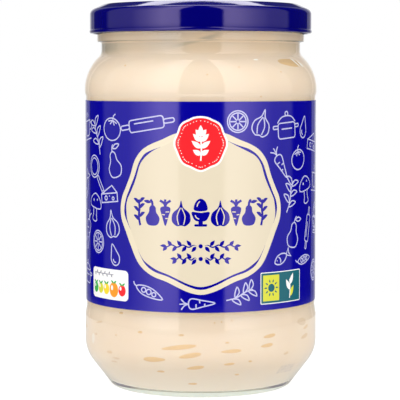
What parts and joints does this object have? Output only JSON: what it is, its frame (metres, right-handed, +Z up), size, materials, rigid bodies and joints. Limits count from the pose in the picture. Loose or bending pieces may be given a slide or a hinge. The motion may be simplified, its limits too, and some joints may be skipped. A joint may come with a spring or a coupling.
{
  "type": "mayonnaise jar",
  "caption": "Round glass jar filled with mayonnaise, with a sunk band for a wrap-round printed paper label, a rounded heel and shoulder, a threaded neck with a bead, and a twist-off lid.",
  "frame": {"origin": "centre of the jar's foot, on the surface it stands on", "axes": "+Z up along the jar's axis, -Y towards the middle of the label's front, +X to the right of it"},
  "size_m": [0.089, 0.089, 0.1453],
  "materials": {
    "glass": "clear, gloss",
    "mayonnaise": "smooth cream",
    "label": "printed, varnished paper",
    "lid": "gloss enamel"
  },
  "bodies": {
    "root": {"glass_jar": "glass", "mayonnaise": "mayonnaise", "label": "label", "lid": "lid"}
  },
  "joints": []
}
